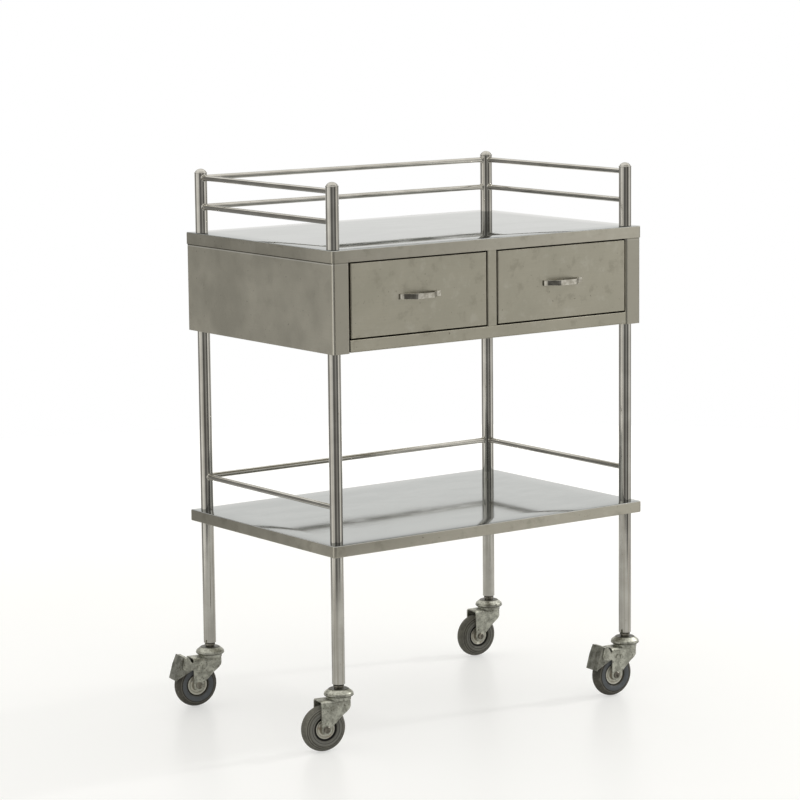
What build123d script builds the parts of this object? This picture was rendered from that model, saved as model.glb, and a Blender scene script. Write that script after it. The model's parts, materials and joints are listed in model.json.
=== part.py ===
from build123d import *
import math
import os

# Instrument cart of polished stainless tube and folded sheet: a railed tray over a
# two-drawer cabinet, a lower shelf, and four swivel casters, two of them braked.
# Millimetres, +Z up, +X to the right seen from the drawers, drawers open towards -Y.

# ---- frame ----
LEG_X = 317.5            # centre of the uprights, either side of the middle
LEG_Y = 201.5
TUBE_D = 22.2
TUBE_WALL = 1.2
TUBE_FOOT_Z = 113.5
TUBE_TOP_Z = 957.5
POST_TOP_Z = 965.5
CAP_RIM_D = 22.8
CAP_RIM = 1.6
CAP_STEP = 0.5
CAP_SPIGOT = 10.0
PLUG_LENGTH = 30.0

# ---- guard rails ----
RAIL_D = 9.6
RAIL_WALL = 1.0
UPPER_RAIL_ZS = (898.4, 949.5)
LOWER_RAIL_Z = 416.2

# ---- tray and shelf ----
SHEET = 1.2
TRAY_W, TRAY_D = 670.0, 451.0
TRAY_TOP_Z = 853.0
TRAY_LIP = 20.8
SHELF_W, SHELF_D = 676.0, 448.0
SHELF_TOP_Z = 355.4
SHELF_LIP = 20.0
CORNER_R = 5.0           # plan corner of the folded tray and shelf
FOLD_R = 1.6             # outside radius of a sharp sheet fold
SHELF_HEM = 7.0          # return of the shelf's lip, turned inwards
STIFFENER_W, STIFFENER_H, STIFFENER_FLANGE = 30.0, 14.0, 12.0
STIFFENER_Y = 75.0
STIFFENER_LENGTH = 600.0

# ---- drawer cabinet ----
CAB_X = TRAY_W / 2 - SHEET       # outer face of the side panels, just inside the tray's lip
CAB_Y = TRAY_D / 2 - SHEET       # outer face of the front and the back
CAB_BOTTOM_Z = 679.0
CAB_TOP_Z = TRAY_TOP_Z - SHEET - 0.6
CAB_CORNER_R = 4.0
STILE_INNER_X = 300.0            # inner edge of the outer stiles
STILE_RETURN = 12.0
CENTER_STILE_W = 20.0
PANEL_HEM = 12.0
BACK_SETBACK = 0.6               # of the side panels, clear of the tray's folded rear corners
HEM_NOTCH = 1.0                  # room round the uprights
BOTTOM_RAIL_TOP_Z = 701.2
JOINT_GAP = 0.3

# ---- drawers ----
DRAWER_GAP = 2.3
DRAWER_Z = (703.5, 830.0)
DRAWER_FRONT_DEPTH = 14.0
DRAWER_TRAVEL = 330.0
BOX_W, BOX_LENGTH = 260.0, 380.0
BOX_Z = (708.0, 815.0)
BOX_SHEET = 1.0
RUNNER_Z = 766.0
RUNNER_H = 18.0
RUNNER_DEPTH = 13.5
RUNNER_SHEET = 1.5
RUNNER_PLAY = 0.3
CHANNEL_TO_BOX = 6.0             # from the fixed channel's flange to the box's side
CHANNEL_BACK_Y = 205.0
CHANNEL_SETBACK = 1.5            # behind the shut drawer's front

# ---- drawer handles ----
HANDLE_W, HANDLE_FLAT, HANDLE_FOOT = 85.0, 37.0, 9.0
HANDLE_REACH = 18.0
HANDLE_THICK, HANDLE_H = 2.5, 9.5
HANDLE_BEND_R = 5.0
SCREW_D, SCREW_HEAD_D, SCREW_HEAD = 4.0, 7.0, 2.4
SCREW_DEPTH = 1.9                # into the handle's foot

# ---- casters ----
WHEEL_D = 80.0
TRAIL = 30.0                     # axle behind the swivel axis
TYRE_HALF_W = 12.5
TYRE_SHOULDER_R = 24.0
CORE_R = 18.5
CORE_HALF_W = 9.0
HUB_R, HUB_HALF_W = 9.5, 13.4
WEB_HALF_T = 3.0
AXLE_D = 8.0
SLEEVE_D = 12.0
RUNNING = 0.05                   # radial clearance of a running fit
FORK_TOP_Z = 90.0
FORK_SHEET = 2.5
FORK_HALF_IN = 14.0
FORK_FRONT, FORK_BACK = -19.0, 39.7
FORK_SHOULDER_R, FORK_NOSE_R = 6.0, 12.0
FORK_NOSE_Z, FORK_NOSE_BEND = 77.0, 15.0       # where the nose turns back, and how roundly
FORK_THROAT, FORK_THROAT_BEND = (1.0, 61.5), 12.0
FORK_ARM = (22.0, 42.0)          # where the slant meets the axle boss
BOSS_R = 9.7
HEAD_D, HEAD_TOP_Z = 42.0, 94.5  # raised swivel head on the fork
HEAD_WALL = 2.5
CUP_D, CUP_LIP_D, CUP_TOP_D = 51.6, 48.0, 33.0
CUP_LIP_Z, CUP_TOP_Z = 93.6, 106.0
CUP_SHEET = 2.0
CUP_LIP_RISE, CUP_BAND = 1.6, 1.2     # up to the widest place, and the band there
CUP_KNEE_IN, CUP_KNEE_RISE = 2.4, 7.4
CUP_BROW, CUP_CHAMFER = 1.5, 1.0      # the bevel round the flat top
BALL_D, BALL_RING_R, BALL_COUNT = 5.0, 14.0, 14
STEM_D = 10.0
COLLAR_D, NECK_D = 18.6, 15.0
NECK_LENGTH, COLLAR_BEVEL = 2.4, 0.6
NECK_GAP, NECK_TAPER = 1.0, 0.8       # under the tube's end
HEAD_GAP = 0.3                        # between sealed, turning faces
PIN_HEAD_D, PIN_HEAD = 20.0, 3.0
BOLT_HEAD_D, BOLT_HEAD, BOLT_HEAD_BEVEL = 12.0, 2.4, 0.8
BOLT_CENTRE_D, BOLT_CENTRE = 4.0, 1.0
NUT_AF, NUT_H, BOLT_PAST_NUT = 13.0, 6.0, 1.5

# ---- wheel brakes ----
BRACKET_SHEET = 2.0
BRACKET_OUTLINE = ((14.0, 66.0), (36.0, 65.0), (43.0, 70.5), (52.0, 69.5), (62.5, 73.5),
                   (58.0, 93.5), (50.0, 93.5), (43.5, 82.5), (36.0, 84.5), (14.0, 85.0))
BRACKET_RADII = (7, 5, 4, 5, 6, 1.5, 2, 4, 4, 7)
BRACKET_WEB = (51.0, 57.0)       # behind the swivel axis
BRACKET_TOP_Z = 93.5
PEDAL_PIVOT = (55.3, 78.0)       # behind the swivel axis, and height
PEDAL_PIN_D = 5.0
PEDAL_SHEET = 2.0
PEDAL_GAP = 0.35                 # between its ears and the bracket
FOOT_LINE = ((74.5, 53.0), (67.4, 78.5), (60.0, 95.5))
FOOT_BEND_R = 6.0
EAR_OUTLINE = ((74.0, 53.5), (67.0, 78.4), (60.4, 94.0), (59.2, 89.5), (50.5, 84.0), (41.6, 75.5),
               (41.4, 69.5), (64.0, 58.5))
EAR_RADII = (0, 0, 0, 2, 4, 3, 2, 3)
PEDAL_SWING = 7.0                # degrees down to the tyre
RIVET_D, RIVET_HEAD_D, RIVET_HEAD = 4.6, 7.6, 1.4
RIVET_TAIL = 0.8
RIVET_AT = ((20.5, 74.0), (29.5, 74.0))

# ---- each caster: the upright it is on, and how far its trail is turned from -X ----
CASTERS = {
    "front_left": (-1, -1, 10.0),
    "front_right": (1, -1, 4.0),
    "rear_left": (-1, 1, 8.5),
    "rear_right": (1, 1, 4.0),
}
BRAKED = ("front_right", "rear_left")


# ---------------------------------------------------------------- helpers
def turned_about_z(profile):
    """Solid of revolution about Z of a closed outline given as (radius, height) points."""
    return revolve(make_face(Polyline(*[(r, 0, z) for r, z in profile], close=True)), Axis.Z)


def block(x, y, z):
    """Box between two values on each axis."""
    size = (x[1] - x[0], y[1] - y[0], z[1] - z[0])
    middle = ((x[0] + x[1]) / 2, (y[0] + y[1]) / 2, (z[0] + z[1]) / 2)
    return Pos(*middle) * Box(*size)


def folded_slab(width, depth, z, front_r, back_r):
    """Plate between two heights, its front and back corners rounded in plan."""
    slab = block((-width / 2, width / 2), (-depth / 2, depth / 2), z)
    corners = slab.edges().filter_by(Axis.Z).sort_by(Axis.Y)
    slab = fillet(corners[:2], front_r)
    corners = slab.edges().filter_by(Axis.Z).sort_by(Axis.Y)
    return fillet(corners[-2:], back_r)


def rod(start, end, diameter):
    """Round bar between two points."""
    a = Vector(*start)
    run = Vector(*end) - a
    plane = Plane(origin=a, z_dir=run)
    return extrude(plane * Circle(diameter / 2), run.length)


def offset_points(points, thick):
    """The points of a bent line moved sideways to its left by a thickness, mitred at the bends."""
    out = []
    for i, p in enumerate(points):
        normals = []
        for a, b in ((i - 1, i), (i, i + 1)):
            if a >= 0 and b < len(points):
                run = Vector(points[b]) - Vector(points[a])
                normals.append(Vector(-run.Y, run.X).normalized())
        both = normals[0] + normals[-1]
        scale = thick * 2 / both.dot(both)
        out.append((p[0] + both.X * scale, p[1] + both.Y * scale))
    return out


def sheet_section(points, thick, fold_r):
    """Section of a folded sheet: its outer side runs through the points, the metal lies to the left."""
    inner = offset_points(points, thick)
    first, second = [0.0], [0.0]
    for a, b, c in zip(points, points[1:], points[2:]):
        turn = (b[0] - a[0]) * (c[1] - b[1]) - (b[1] - a[1]) * (c[0] - b[0])
        near = max(fold_r - thick, 0.2)
        first.append(near + thick if turn > 0 else near)
        second.append(near if turn > 0 else near + thick)
    outline = list(points) + inner[::-1]
    radii = first + [0.0] + (second + [0.0])[::-1]
    return make_face(FilletPolyline(*outline, radius=radii, close=True))


def legs():
    """The four uprights' plan positions."""
    return [(sx * LEG_X, sy * LEG_Y) for sx, sy, _ in CASTERS.values()]


def at_each_leg(shape):
    return [Pos(x, y, 0) * shape for x, y in legs()]


def group(solids):
    """Several separate solids as one node."""
    return Compound([s for shape in solids for s in shape.solids()])


# ---------------------------------------------------------------- frame
def upright():
    ring = Circle(TUBE_D / 2) - Circle(TUBE_D / 2 - TUBE_WALL)
    return extrude(Pos(0, 0, TUBE_FOOT_Z) * ring, TUBE_TOP_Z - TUBE_FOOT_Z)


def post_cap():
    """Domed plug: a spigot in the tube, a thin rim on its end, and a dome that is part of a sphere."""
    rim_r = CAP_RIM_D / 2
    rim_top = TUBE_TOP_Z + CAP_RIM
    dome_r = rim_r - CAP_STEP
    rise = POST_TOP_Z - rim_top
    ball_r = (dome_r ** 2 + rise ** 2) / (2 * rise)
    spigot = Pos(0, 0, TUBE_TOP_Z - CAP_SPIGOT / 2) * Cylinder(TUBE_D / 2 - TUBE_WALL, CAP_SPIGOT)
    rim = Pos(0, 0, TUBE_TOP_Z + CAP_RIM / 2) * Cylinder(rim_r, CAP_RIM)
    ball = Pos(0, 0, POST_TOP_Z - ball_r) * Sphere(ball_r)
    dome = ball & block((-rim_r, rim_r), (-rim_r, rim_r), (rim_top, POST_TOP_Z + 1))
    return spigot + rim + dome


def tube_plug():
    """Threaded bush in the foot of a tube."""
    ring = Circle(TUBE_D / 2 - TUBE_WALL) - Circle(STEM_D / 2)
    return extrude(Pos(0, 0, TUBE_FOOT_Z) * ring, PLUG_LENGTH)


def rail(start, end):
    """Guard rail between two uprights, its ends coped to fit them."""
    bar = rod(start, end, RAIL_D) - rod(start, end, RAIL_D - 2 * RAIL_WALL)
    for x, y, z in (start, end):
        bar -= Pos(x, y, z) * Cylinder(TUBE_D / 2, 4 * RAIL_D)
    return bar


def side_rails(side, heights):
    x = side * LEG_X
    return group([rail((x, -LEG_Y, z), (x, LEG_Y, z)) for z in heights])


def rear_rails(heights):
    return group([rail((-LEG_X, LEG_Y, z), (LEG_X, LEG_Y, z)) for z in heights])


def folded_top(width, depth, top_z, lip):
    """Sheet with a down-turned lip on all four sides, holed for the uprights."""
    low = top_z - lip
    outer = folded_slab(width, depth, (low, top_z), CORNER_R, FOLD_R)
    outer = fillet(outer.faces().sort_by(Axis.Z)[-1].edges(), FOLD_R - 0.1)
    inner = folded_slab(width - 2 * SHEET, depth - 2 * SHEET, (low - 1, top_z - SHEET),
                        CORNER_R - SHEET, FOLD_R - SHEET)
    top = outer - inner
    for hole in at_each_leg(Pos(0, 0, top_z) * Cylinder(TUBE_D / 2, 4 * SHEET)):
        top -= hole
    return top


def lower_shelf():
    """Folded sheet whose lip is hemmed inwards at the bottom."""
    low = SHELF_TOP_Z - SHELF_LIP
    hem = folded_slab(SHELF_W, SHELF_D, (low, low + SHEET), CORNER_R, FOLD_R)
    hem -= folded_slab(SHELF_W - 2 * SHELF_HEM, SHELF_D - 2 * SHELF_HEM, (low - 1, low + 2 * SHEET),
                       CORNER_R, FOLD_R)
    return folded_top(SHELF_W, SHELF_D, SHELF_TOP_Z, SHELF_LIP) + hem


def shelf_stiffener():
    """Hat channel on the underside of the shelf."""
    under = SHELF_TOP_Z - SHEET
    half = STIFFENER_W / 2
    low = under - STIFFENER_H
    points = [(half + STIFFENER_FLANGE, under - SHEET), (half, under - SHEET), (half, low),
              (-half, low), (-half, under - SHEET), (-half - STIFFENER_FLANGE, under - SHEET)]
    section = sheet_section(points[::-1], SHEET, FOLD_R)
    start = Plane(origin=(-STIFFENER_LENGTH / 2, 0, 0), x_dir=(0, 1, 0), z_dir=(1, 0, 0))
    return extrude(start * section, STIFFENER_LENGTH)


# ---------------------------------------------------------------- cabinet
def notched(hem):
    """A hem cut away round the uprights."""
    for x, y in legs():
        hem -= Pos(x, y, CAB_BOTTOM_Z) * Cylinder(TUBE_D / 2 + HEM_NOTCH, 4 * SHEET)
    return hem


def side_panel(side):
    """Side of the cabinet, folded round the front corner into the outer stile."""
    plan = [(-CAB_X, CAB_Y - BACK_SETBACK), (-CAB_X, -CAB_Y), (-STILE_INNER_X, -CAB_Y),
            (-STILE_INNER_X, -CAB_Y + STILE_RETURN)]
    section = Pos(0, 0, CAB_BOTTOM_Z) * sheet_section(plan, SHEET, CAB_CORNER_R)
    panel = extrude(section, CAB_TOP_Z - CAB_BOTTOM_Z)
    hem = block((-CAB_X + SHEET / 2, -CAB_X + PANEL_HEM), (-CAB_Y + CAB_CORNER_R, CAB_Y - SHEET),
                (CAB_BOTTOM_Z, CAB_BOTTOM_Z + SHEET))
    panel += notched(hem)
    return panel if side < 0 else mirror(panel, Plane.YZ)


def back_panel():
    """Back of the cabinet between the sides, with an inward hem at the bottom."""
    half = CAB_X - SHEET
    panel = block((-half, half), (CAB_Y - SHEET, CAB_Y), (CAB_BOTTOM_Z, CAB_TOP_Z))
    hem_half = CAB_X - PANEL_HEM
    hem = block((-hem_half, hem_half), (CAB_Y - PANEL_HEM, CAB_Y), (CAB_BOTTOM_Z, CAB_BOTTOM_Z + SHEET))
    return panel + notched(hem)


def cabinet_floor():
    """Flat sheet on the hems, holed for the uprights."""
    low = CAB_BOTTOM_Z + SHEET
    half = CAB_X - SHEET
    sheet = block((-half, half), (-CAB_Y + SHEET, CAB_Y - SHEET), (low, low + SHEET))
    for x, y in legs():
        sheet -= Pos(x, y, low) * Cylinder(TUBE_D / 2, 4 * SHEET)
    for side in (-1, 1):
        corner = side * (CAB_X - SHEET)
        room = CAB_X - STILE_INNER_X + SHEET
        inner = corner - side * room
        xs = (min(corner, inner), max(corner, inner))
        sheet -= block(xs, (-CAB_Y, -CAB_Y + STILE_RETURN + JOINT_GAP), (low - 1, low + 2 * SHEET))
    return sheet


def front_bottom_rail():
    """Channel across the front under the drawers, between the outer stiles."""
    low = CAB_BOTTOM_Z + 2 * SHEET
    section = [(-CAB_Y + STILE_RETURN, low), (-CAB_Y, low), (-CAB_Y, BOTTOM_RAIL_TOP_Z),
               (-CAB_Y + STILE_RETURN, BOTTOM_RAIL_TOP_Z)]
    half = STILE_INNER_X - JOINT_GAP
    start = Plane(origin=(half, 0, 0), x_dir=(0, 1, 0), z_dir=(1, 0, 0))
    profile = sheet_section(section[::-1], SHEET, FOLD_R)
    return extrude(start * profile, -2 * half)


def center_stile():
    """Channel between the two drawers, open to the back."""
    half = CENTER_STILE_W / 2
    plan = [(-half, -CAB_Y + STILE_RETURN), (-half, -CAB_Y), (half, -CAB_Y), (half, -CAB_Y + STILE_RETURN)]
    section = Pos(0, 0, BOTTOM_RAIL_TOP_Z) * sheet_section(plan, SHEET, FOLD_R)
    return extrude(section, CAB_TOP_Z - BOTTOM_RAIL_TOP_Z)


def divider():
    """Sheet between the drawer bays, from the centre stile to the back panel."""
    front = -CAB_Y + SHEET
    wall = block((-SHEET / 2, SHEET / 2), (front, CAB_Y - SHEET), (CAB_BOTTOM_Z + 2 * SHEET, CAB_TOP_Z))
    return wall - block((-SHEET, SHEET), (-CAB_Y, -CAB_Y + STILE_RETURN + JOINT_GAP),
                        (CAB_BOTTOM_Z, BOTTOM_RAIL_TOP_Z + JOINT_GAP))


def drawer_channel(web_x, flange_x):
    """Fixed runner: a channel whose web is at web_x, open towards flange_x."""
    half = RUNNER_H / 2 + RUNNER_PLAY + SHEET
    front = -CAB_Y + DRAWER_FRONT_DEPTH + CHANNEL_SETBACK
    xs = (min(web_x, flange_x), max(web_x, flange_x))
    bar = block(xs, (front, CHANNEL_BACK_Y), (RUNNER_Z - half, RUNNER_Z + half))
    inward = math.copysign(SHEET, flange_x - web_x)
    room = (web_x + inward, flange_x + inward)
    hollow = block((min(room), max(room)), (front - 1, CHANNEL_BACK_Y + 1),
                   (RUNNER_Z - half + SHEET, RUNNER_Z + half - SHEET))
    return bar - hollow


def bay_center():
    return (STILE_INNER_X + CENTER_STILE_W / 2) / 2


def drawer_channels():
    outer_web = LEG_X - TUBE_D / 2
    outer_flange = bay_center() + BOX_W / 2 + CHANNEL_TO_BOX
    inner_flange = bay_center() - BOX_W / 2 - CHANNEL_TO_BOX
    solids = []
    for side in (-1, 1):
        solids.append(drawer_channel(side * outer_web, side * outer_flange))
        solids.append(drawer_channel(side * SHEET / 2, side * inner_flange))
    return group(solids)


# ---------------------------------------------------------------- drawers
def drawer_front():
    """Folded front: a flat face with a return behind each edge."""
    width = STILE_INNER_X - CENTER_STILE_W / 2 - 2 * DRAWER_GAP
    height = DRAWER_Z[1] - DRAWER_Z[0]
    middle = (DRAWER_Z[0] + DRAWER_Z[1]) / 2
    outer = Pos(0, -CAB_Y + DRAWER_FRONT_DEPTH / 2, middle) * Box(width, DRAWER_FRONT_DEPTH, height)
    outer = fillet(outer.faces().sort_by(Axis.Y)[0].edges(), FOLD_R)
    hollow = Pos(0, -CAB_Y + SHEET + DRAWER_FRONT_DEPTH / 2, middle) * Box(
        width - 2 * SHEET, DRAWER_FRONT_DEPTH, height - 2 * SHEET)
    panel = outer - hollow
    for x in screw_xs():
        panel -= Pos(x, -CAB_Y, middle) * Rot(90, 0, 0) * Cylinder(SCREW_D / 2, 4 * SHEET)
    return panel


def drawer_box():
    """Open-topped box behind the front."""
    front = -CAB_Y + DRAWER_FRONT_DEPTH
    outer = block((-BOX_W / 2, BOX_W / 2), (front, front + BOX_LENGTH), BOX_Z)
    inner = block((-BOX_W / 2 + BOX_SHEET, BOX_W / 2 - BOX_SHEET),
                  (front + BOX_SHEET, front + BOX_LENGTH - BOX_SHEET),
                  (BOX_Z[0] + BOX_SHEET, BOX_Z[1] + 1))
    return outer - inner


def drawer_runners():
    """The two channels on the box's sides, webs on the box, open outwards."""
    front = -CAB_Y + DRAWER_FRONT_DEPTH
    half = RUNNER_H / 2
    solids = []
    for side in (-1, 1):
        near = side * BOX_W / 2
        far = side * (BOX_W / 2 + RUNNER_DEPTH)
        bar = block((min(near, far), max(near, far)), (front, front + BOX_LENGTH),
                    (RUNNER_Z - half, RUNNER_Z + half))
        web = side * (BOX_W / 2 + RUNNER_SHEET)
        past = side * (BOX_W / 2 + RUNNER_DEPTH + 1)
        hollow = block((min(web, past), max(web, past)), (front - 1, front + BOX_LENGTH + 1),
                       (RUNNER_Z - half + RUNNER_SHEET, RUNNER_Z + half - RUNNER_SHEET))
        solids.append(bar - hollow)
    return group(solids)


def screw_xs():
    return [side * (HANDLE_W - HANDLE_FOOT) / 2 for side in (-1, 1)]


def handle():
    """Bow of flat strip: two feet on the drawer, sloped sides, a flat grip."""
    half, flat, foot = HANDLE_W / 2, HANDLE_FLAT / 2, HANDLE_W / 2 - HANDLE_FOOT
    back = -CAB_Y
    outer = back - HANDLE_THICK
    grip = back - HANDLE_REACH
    plan = [(-half, outer), (-foot, outer), (-flat, grip), (flat, grip), (foot, outer), (half, outer)]
    middle = (DRAWER_Z[0] + DRAWER_Z[1]) / 2
    section = Pos(0, 0, middle - HANDLE_H / 2) * sheet_section(plan, HANDLE_THICK, HANDLE_BEND_R)
    bow = extrude(section, HANDLE_H)
    for x in screw_xs():
        bow -= rod((x, back + 1, middle), (x, back - SCREW_DEPTH, middle), SCREW_D)
    return bow


def handle_screws():
    """Screws from inside the front into the handle's feet, blind."""
    middle = (DRAWER_Z[0] + DRAWER_Z[1]) / 2
    head_start = -CAB_Y + SHEET
    tip = -CAB_Y - SCREW_DEPTH
    solids = []
    for x in screw_xs():
        shank = rod((x, tip, middle), (x, head_start, middle), SCREW_D)
        head = rod((x, head_start, middle), (x, head_start + SCREW_HEAD, middle), SCREW_HEAD_D)
        solids.append(shank + head)
    return group(solids)


# ---------------------------------------------------------------- casters
# Each is drawn with its swivel axis on Z and its trail along +X, then turned and placed.
def caster_place(name):
    sx, sy, turn = CASTERS[name]
    return Pos(sx * LEG_X, sy * LEG_Y, 0) * Rot(0, 0, 180 - turn)


def caster_stem():
    """Kingpin with its head under the fork, a collar under the tube, and a threaded end in the plug."""
    pin_r, neck_r, collar_r = STEM_D / 2, NECK_D / 2, COLLAR_D / 2
    head_top = HEAD_TOP_Z - HEAD_WALL - HEAD_GAP
    collar_low = CUP_TOP_Z + NECK_LENGTH
    collar_top = TUBE_FOOT_Z - NECK_GAP
    top = TUBE_FOOT_Z + PLUG_LENGTH
    profile = [(0, head_top - PIN_HEAD), (PIN_HEAD_D / 2, head_top - PIN_HEAD), (PIN_HEAD_D / 2, head_top),
               (pin_r, head_top), (pin_r, CUP_TOP_Z), (neck_r, CUP_TOP_Z), (neck_r, collar_low),
               (collar_r, collar_low + COLLAR_BEVEL), (collar_r, collar_top - NECK_TAPER),
               (neck_r, collar_top), (neck_r, TUBE_FOOT_Z), (pin_r, TUBE_FOOT_Z), (pin_r, top), (0, top)]
    return turned_about_z(profile)


def caster_cup():
    """Pressed saucer, upside down over the ball ring."""
    lip_r, wide_r, top_r = CUP_LIP_D / 2, CUP_D / 2, CUP_TOP_D / 2
    wide_z = CUP_LIP_Z + CUP_LIP_RISE
    knee = (wide_r - CUP_KNEE_IN, CUP_LIP_Z + CUP_KNEE_RISE)
    roof = CUP_TOP_Z - CUP_SHEET
    outside = [(lip_r, CUP_LIP_Z), (wide_r, wide_z), (wide_r, wide_z + CUP_BAND), knee,
               (top_r + CUP_BROW, CUP_TOP_Z - CUP_CHAMFER), (top_r - CUP_CHAMFER, CUP_TOP_Z),
               (STEM_D / 2, CUP_TOP_Z)]
    inside = [(STEM_D / 2, roof), (top_r - CUP_BROW, roof), (knee[0] - CUP_SHEET, knee[1] - CUP_SHEET),
              (lip_r - CUP_LIP_RISE / 2, wide_z), (lip_r - 1, CUP_LIP_Z)]
    return turned_about_z(outside + inside)


def ball_ring():
    z = HEAD_TOP_Z + HEAD_GAP + BALL_D / 2
    spots = [2 * math.pi * i / BALL_COUNT for i in range(BALL_COUNT)]
    return [Pos(BALL_RING_R * math.cos(a), BALL_RING_R * math.sin(a), z) * Sphere(BALL_D / 2) for a in spots]


def fork_outline():
    """Side view of a cheek: upright at the back, bulged in front, slanting back to the axle boss."""
    axle_z = WHEEL_D / 2
    top = FORK_TOP_Z + 1
    points = [(FORK_BACK, top), (FORK_FRONT - 1, top), (FORK_FRONT - 1, FORK_NOSE_Z), FORK_THROAT,
              FORK_ARM, (TRAIL, axle_z - 1), (FORK_BACK, axle_z)]
    radii = [0, 0, FORK_NOSE_BEND, FORK_THROAT_BEND, 0, 0, 0]
    plate = make_face(FilletPolyline(*points, radius=radii, close=True))
    plate += Pos(TRAIL, axle_z) * Circle(BOSS_R)
    return extrude(Plane.XZ * plate, FORK_HALF_IN * 2, both=True)


def fork():
    """Pressed fork: a hood open at the back, two cheeks, and a raised swivel head."""
    out = FORK_HALF_IN + FORK_SHEET
    low = WHEEL_D / 2 - BOSS_R - 1
    shell = block((FORK_FRONT, FORK_BACK), (-out, out), (low, FORK_TOP_Z))
    nose = [e for e in shell.edges().filter_by(Axis.Z) if e.center().X < 0]
    shell = fillet(nose, FORK_NOSE_R)
    shoulders = shell.faces().sort_by(Axis.Z)[-1].edges()
    shell = fillet([e for e in shoulders if e.center().X < FORK_BACK - 1], FORK_SHOULDER_R)
    hollow = block((FORK_FRONT + FORK_SHEET, FORK_BACK + 1), (-FORK_HALF_IN, FORK_HALF_IN),
                   (low - 1, FORK_TOP_Z - FORK_SHEET))
    nose = [e for e in hollow.edges().filter_by(Axis.Z) if e.center().X < 0]
    hollow = fillet(nose, FORK_NOSE_R - FORK_SHEET)
    shoulders = hollow.faces().sort_by(Axis.Z)[-1].edges()
    hollow = fillet([e for e in shoulders if e.center().X < FORK_BACK], FORK_SHOULDER_R - FORK_SHEET)
    body = (shell - hollow) & fork_outline()
    head = Pos(0, 0, (FORK_TOP_Z - FORK_SHEET + HEAD_TOP_Z) / 2) * Cylinder(
        HEAD_D / 2, HEAD_TOP_Z - FORK_TOP_Z + FORK_SHEET)
    head = fillet(head.faces().sort_by(Axis.Z)[-1].edges(), 1.5)
    body += head & block((-HEAD_D, HEAD_D), (-HEAD_D, HEAD_D), (FORK_TOP_Z - FORK_SHEET, HEAD_TOP_Z))
    under = Pos(0, 0, (FORK_TOP_Z - FORK_SHEET + HEAD_TOP_Z - HEAD_WALL) / 2) * Cylinder(
        FORK_HALF_IN, HEAD_TOP_Z - HEAD_WALL - FORK_TOP_Z + FORK_SHEET)
    body -= under
    body -= Pos(0, 0, HEAD_TOP_Z) * Cylinder(STEM_D / 2 + RUNNING, 4 * HEAD_WALL)
    return body - across(TRAIL, WHEEL_D / 2, AXLE_D, (-2 * out, 2 * out))


def across(x, z, diameter, ys):
    """Round bar parallel to the axle."""
    return rod((x, ys[0], z), (x, ys[1], z), diameter)


def hexagon_across(x, z, flats, ys):
    side_plane = Plane(origin=(x, ys[0], z), x_dir=(1, 0, 0), z_dir=(0, 1, 0))
    return extrude(side_plane * RegularPolygon(flats / 2, 6, major_radius=False), ys[1] - ys[0])


def axle_bolt():
    """Bolt through the cheeks, its low round head outermost, and its nut."""
    face = FORK_HALF_IN + FORK_SHEET
    z = WHEEL_D / 2
    end = -face - NUT_H - BOLT_PAST_NUT
    head = across(TRAIL, z, BOLT_HEAD_D, (face, face + BOLT_HEAD))
    head = chamfer(head.faces().sort_by(Axis.Y)[-1].edges(), BOLT_HEAD_BEVEL)
    head -= across(TRAIL, z, BOLT_CENTRE_D, (face + BOLT_HEAD - BOLT_CENTRE, face + BOLT_HEAD + 1))
    bolt = across(TRAIL, z, AXLE_D, (end, face)) + head
    nut = hexagon_across(TRAIL, z, NUT_AF, (-face - NUT_H, -face))
    nut -= across(TRAIL, z, AXLE_D, (-face - NUT_H - 1, -face + 1))
    return group([bolt, nut])


def axle_sleeve():
    """Spacer clamped between the cheeks, on which the wheel runs."""
    ys = (-FORK_HALF_IN, FORK_HALF_IN)
    past = (ys[0] - 1, ys[1] + 1)
    return across(TRAIL, WHEEL_D / 2, SLEEVE_D, ys) - across(TRAIL, WHEEL_D / 2, AXLE_D, past)


def about_axle(profile):
    """Solid of revolution about the axle of an outline given as (radius, distance across)."""
    face = make_face(Polyline(*[(TRAIL + r, y) for r, y in profile], close=True))
    axis = Axis((TRAIL, 0, WHEEL_D / 2), (0, 1, 0))
    return revolve(Pos(0, 0, WHEEL_D / 2) * face, axis)


def wheel_core():
    """Dished centre: a long hub, a thin web and a rim."""
    bore = SLEEVE_D / 2 + RUNNING
    half = [(bore, HUB_HALF_W), (HUB_R, HUB_HALF_W), (HUB_R + 0.8, WEB_HALF_T + 2.5),
            (CORE_R - 3.5, WEB_HALF_T), (CORE_R - 2.5, CORE_HALF_W), (CORE_R, CORE_HALF_W)]
    return about_axle(half + [(r, -y) for r, y in half[::-1]])


def tyre():
    """Rubber ring with a round crown."""
    z = WHEEL_D / 2
    shoulder = TRAIL + TYRE_SHOULDER_R
    seat = TRAIL + CORE_R
    with BuildPart() as ring:
        with BuildSketch(Plane.XY.offset(z)):
            with BuildLine():
                Line((seat, -CORE_HALF_W), (shoulder, -TYRE_HALF_W + 0.5))
                ThreePointArc((shoulder, -TYRE_HALF_W + 0.5), (TRAIL + z, 0), (shoulder, TYRE_HALF_W - 0.5))
                Line((shoulder, TYRE_HALF_W - 0.5), (seat, CORE_HALF_W))
                Line((seat, CORE_HALF_W), (seat, -CORE_HALF_W))
            make_face()
        revolve(axis=Axis((TRAIL, 0, z), (0, 1, 0)))
    return ring.part


# ---------------------------------------------------------------- brakes
def side_plate(points, radii, ys):
    """Flat plate from its side view (distance behind the swivel axis, height)."""
    face = make_face(FilletPolyline(*points, radius=radii, close=True))
    side_plane = Plane(origin=(0, ys[1], 0), x_dir=(1, 0, 0), z_dir=(0, -1, 0))
    return extrude(side_plane * face, ys[1] - ys[0])


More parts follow.
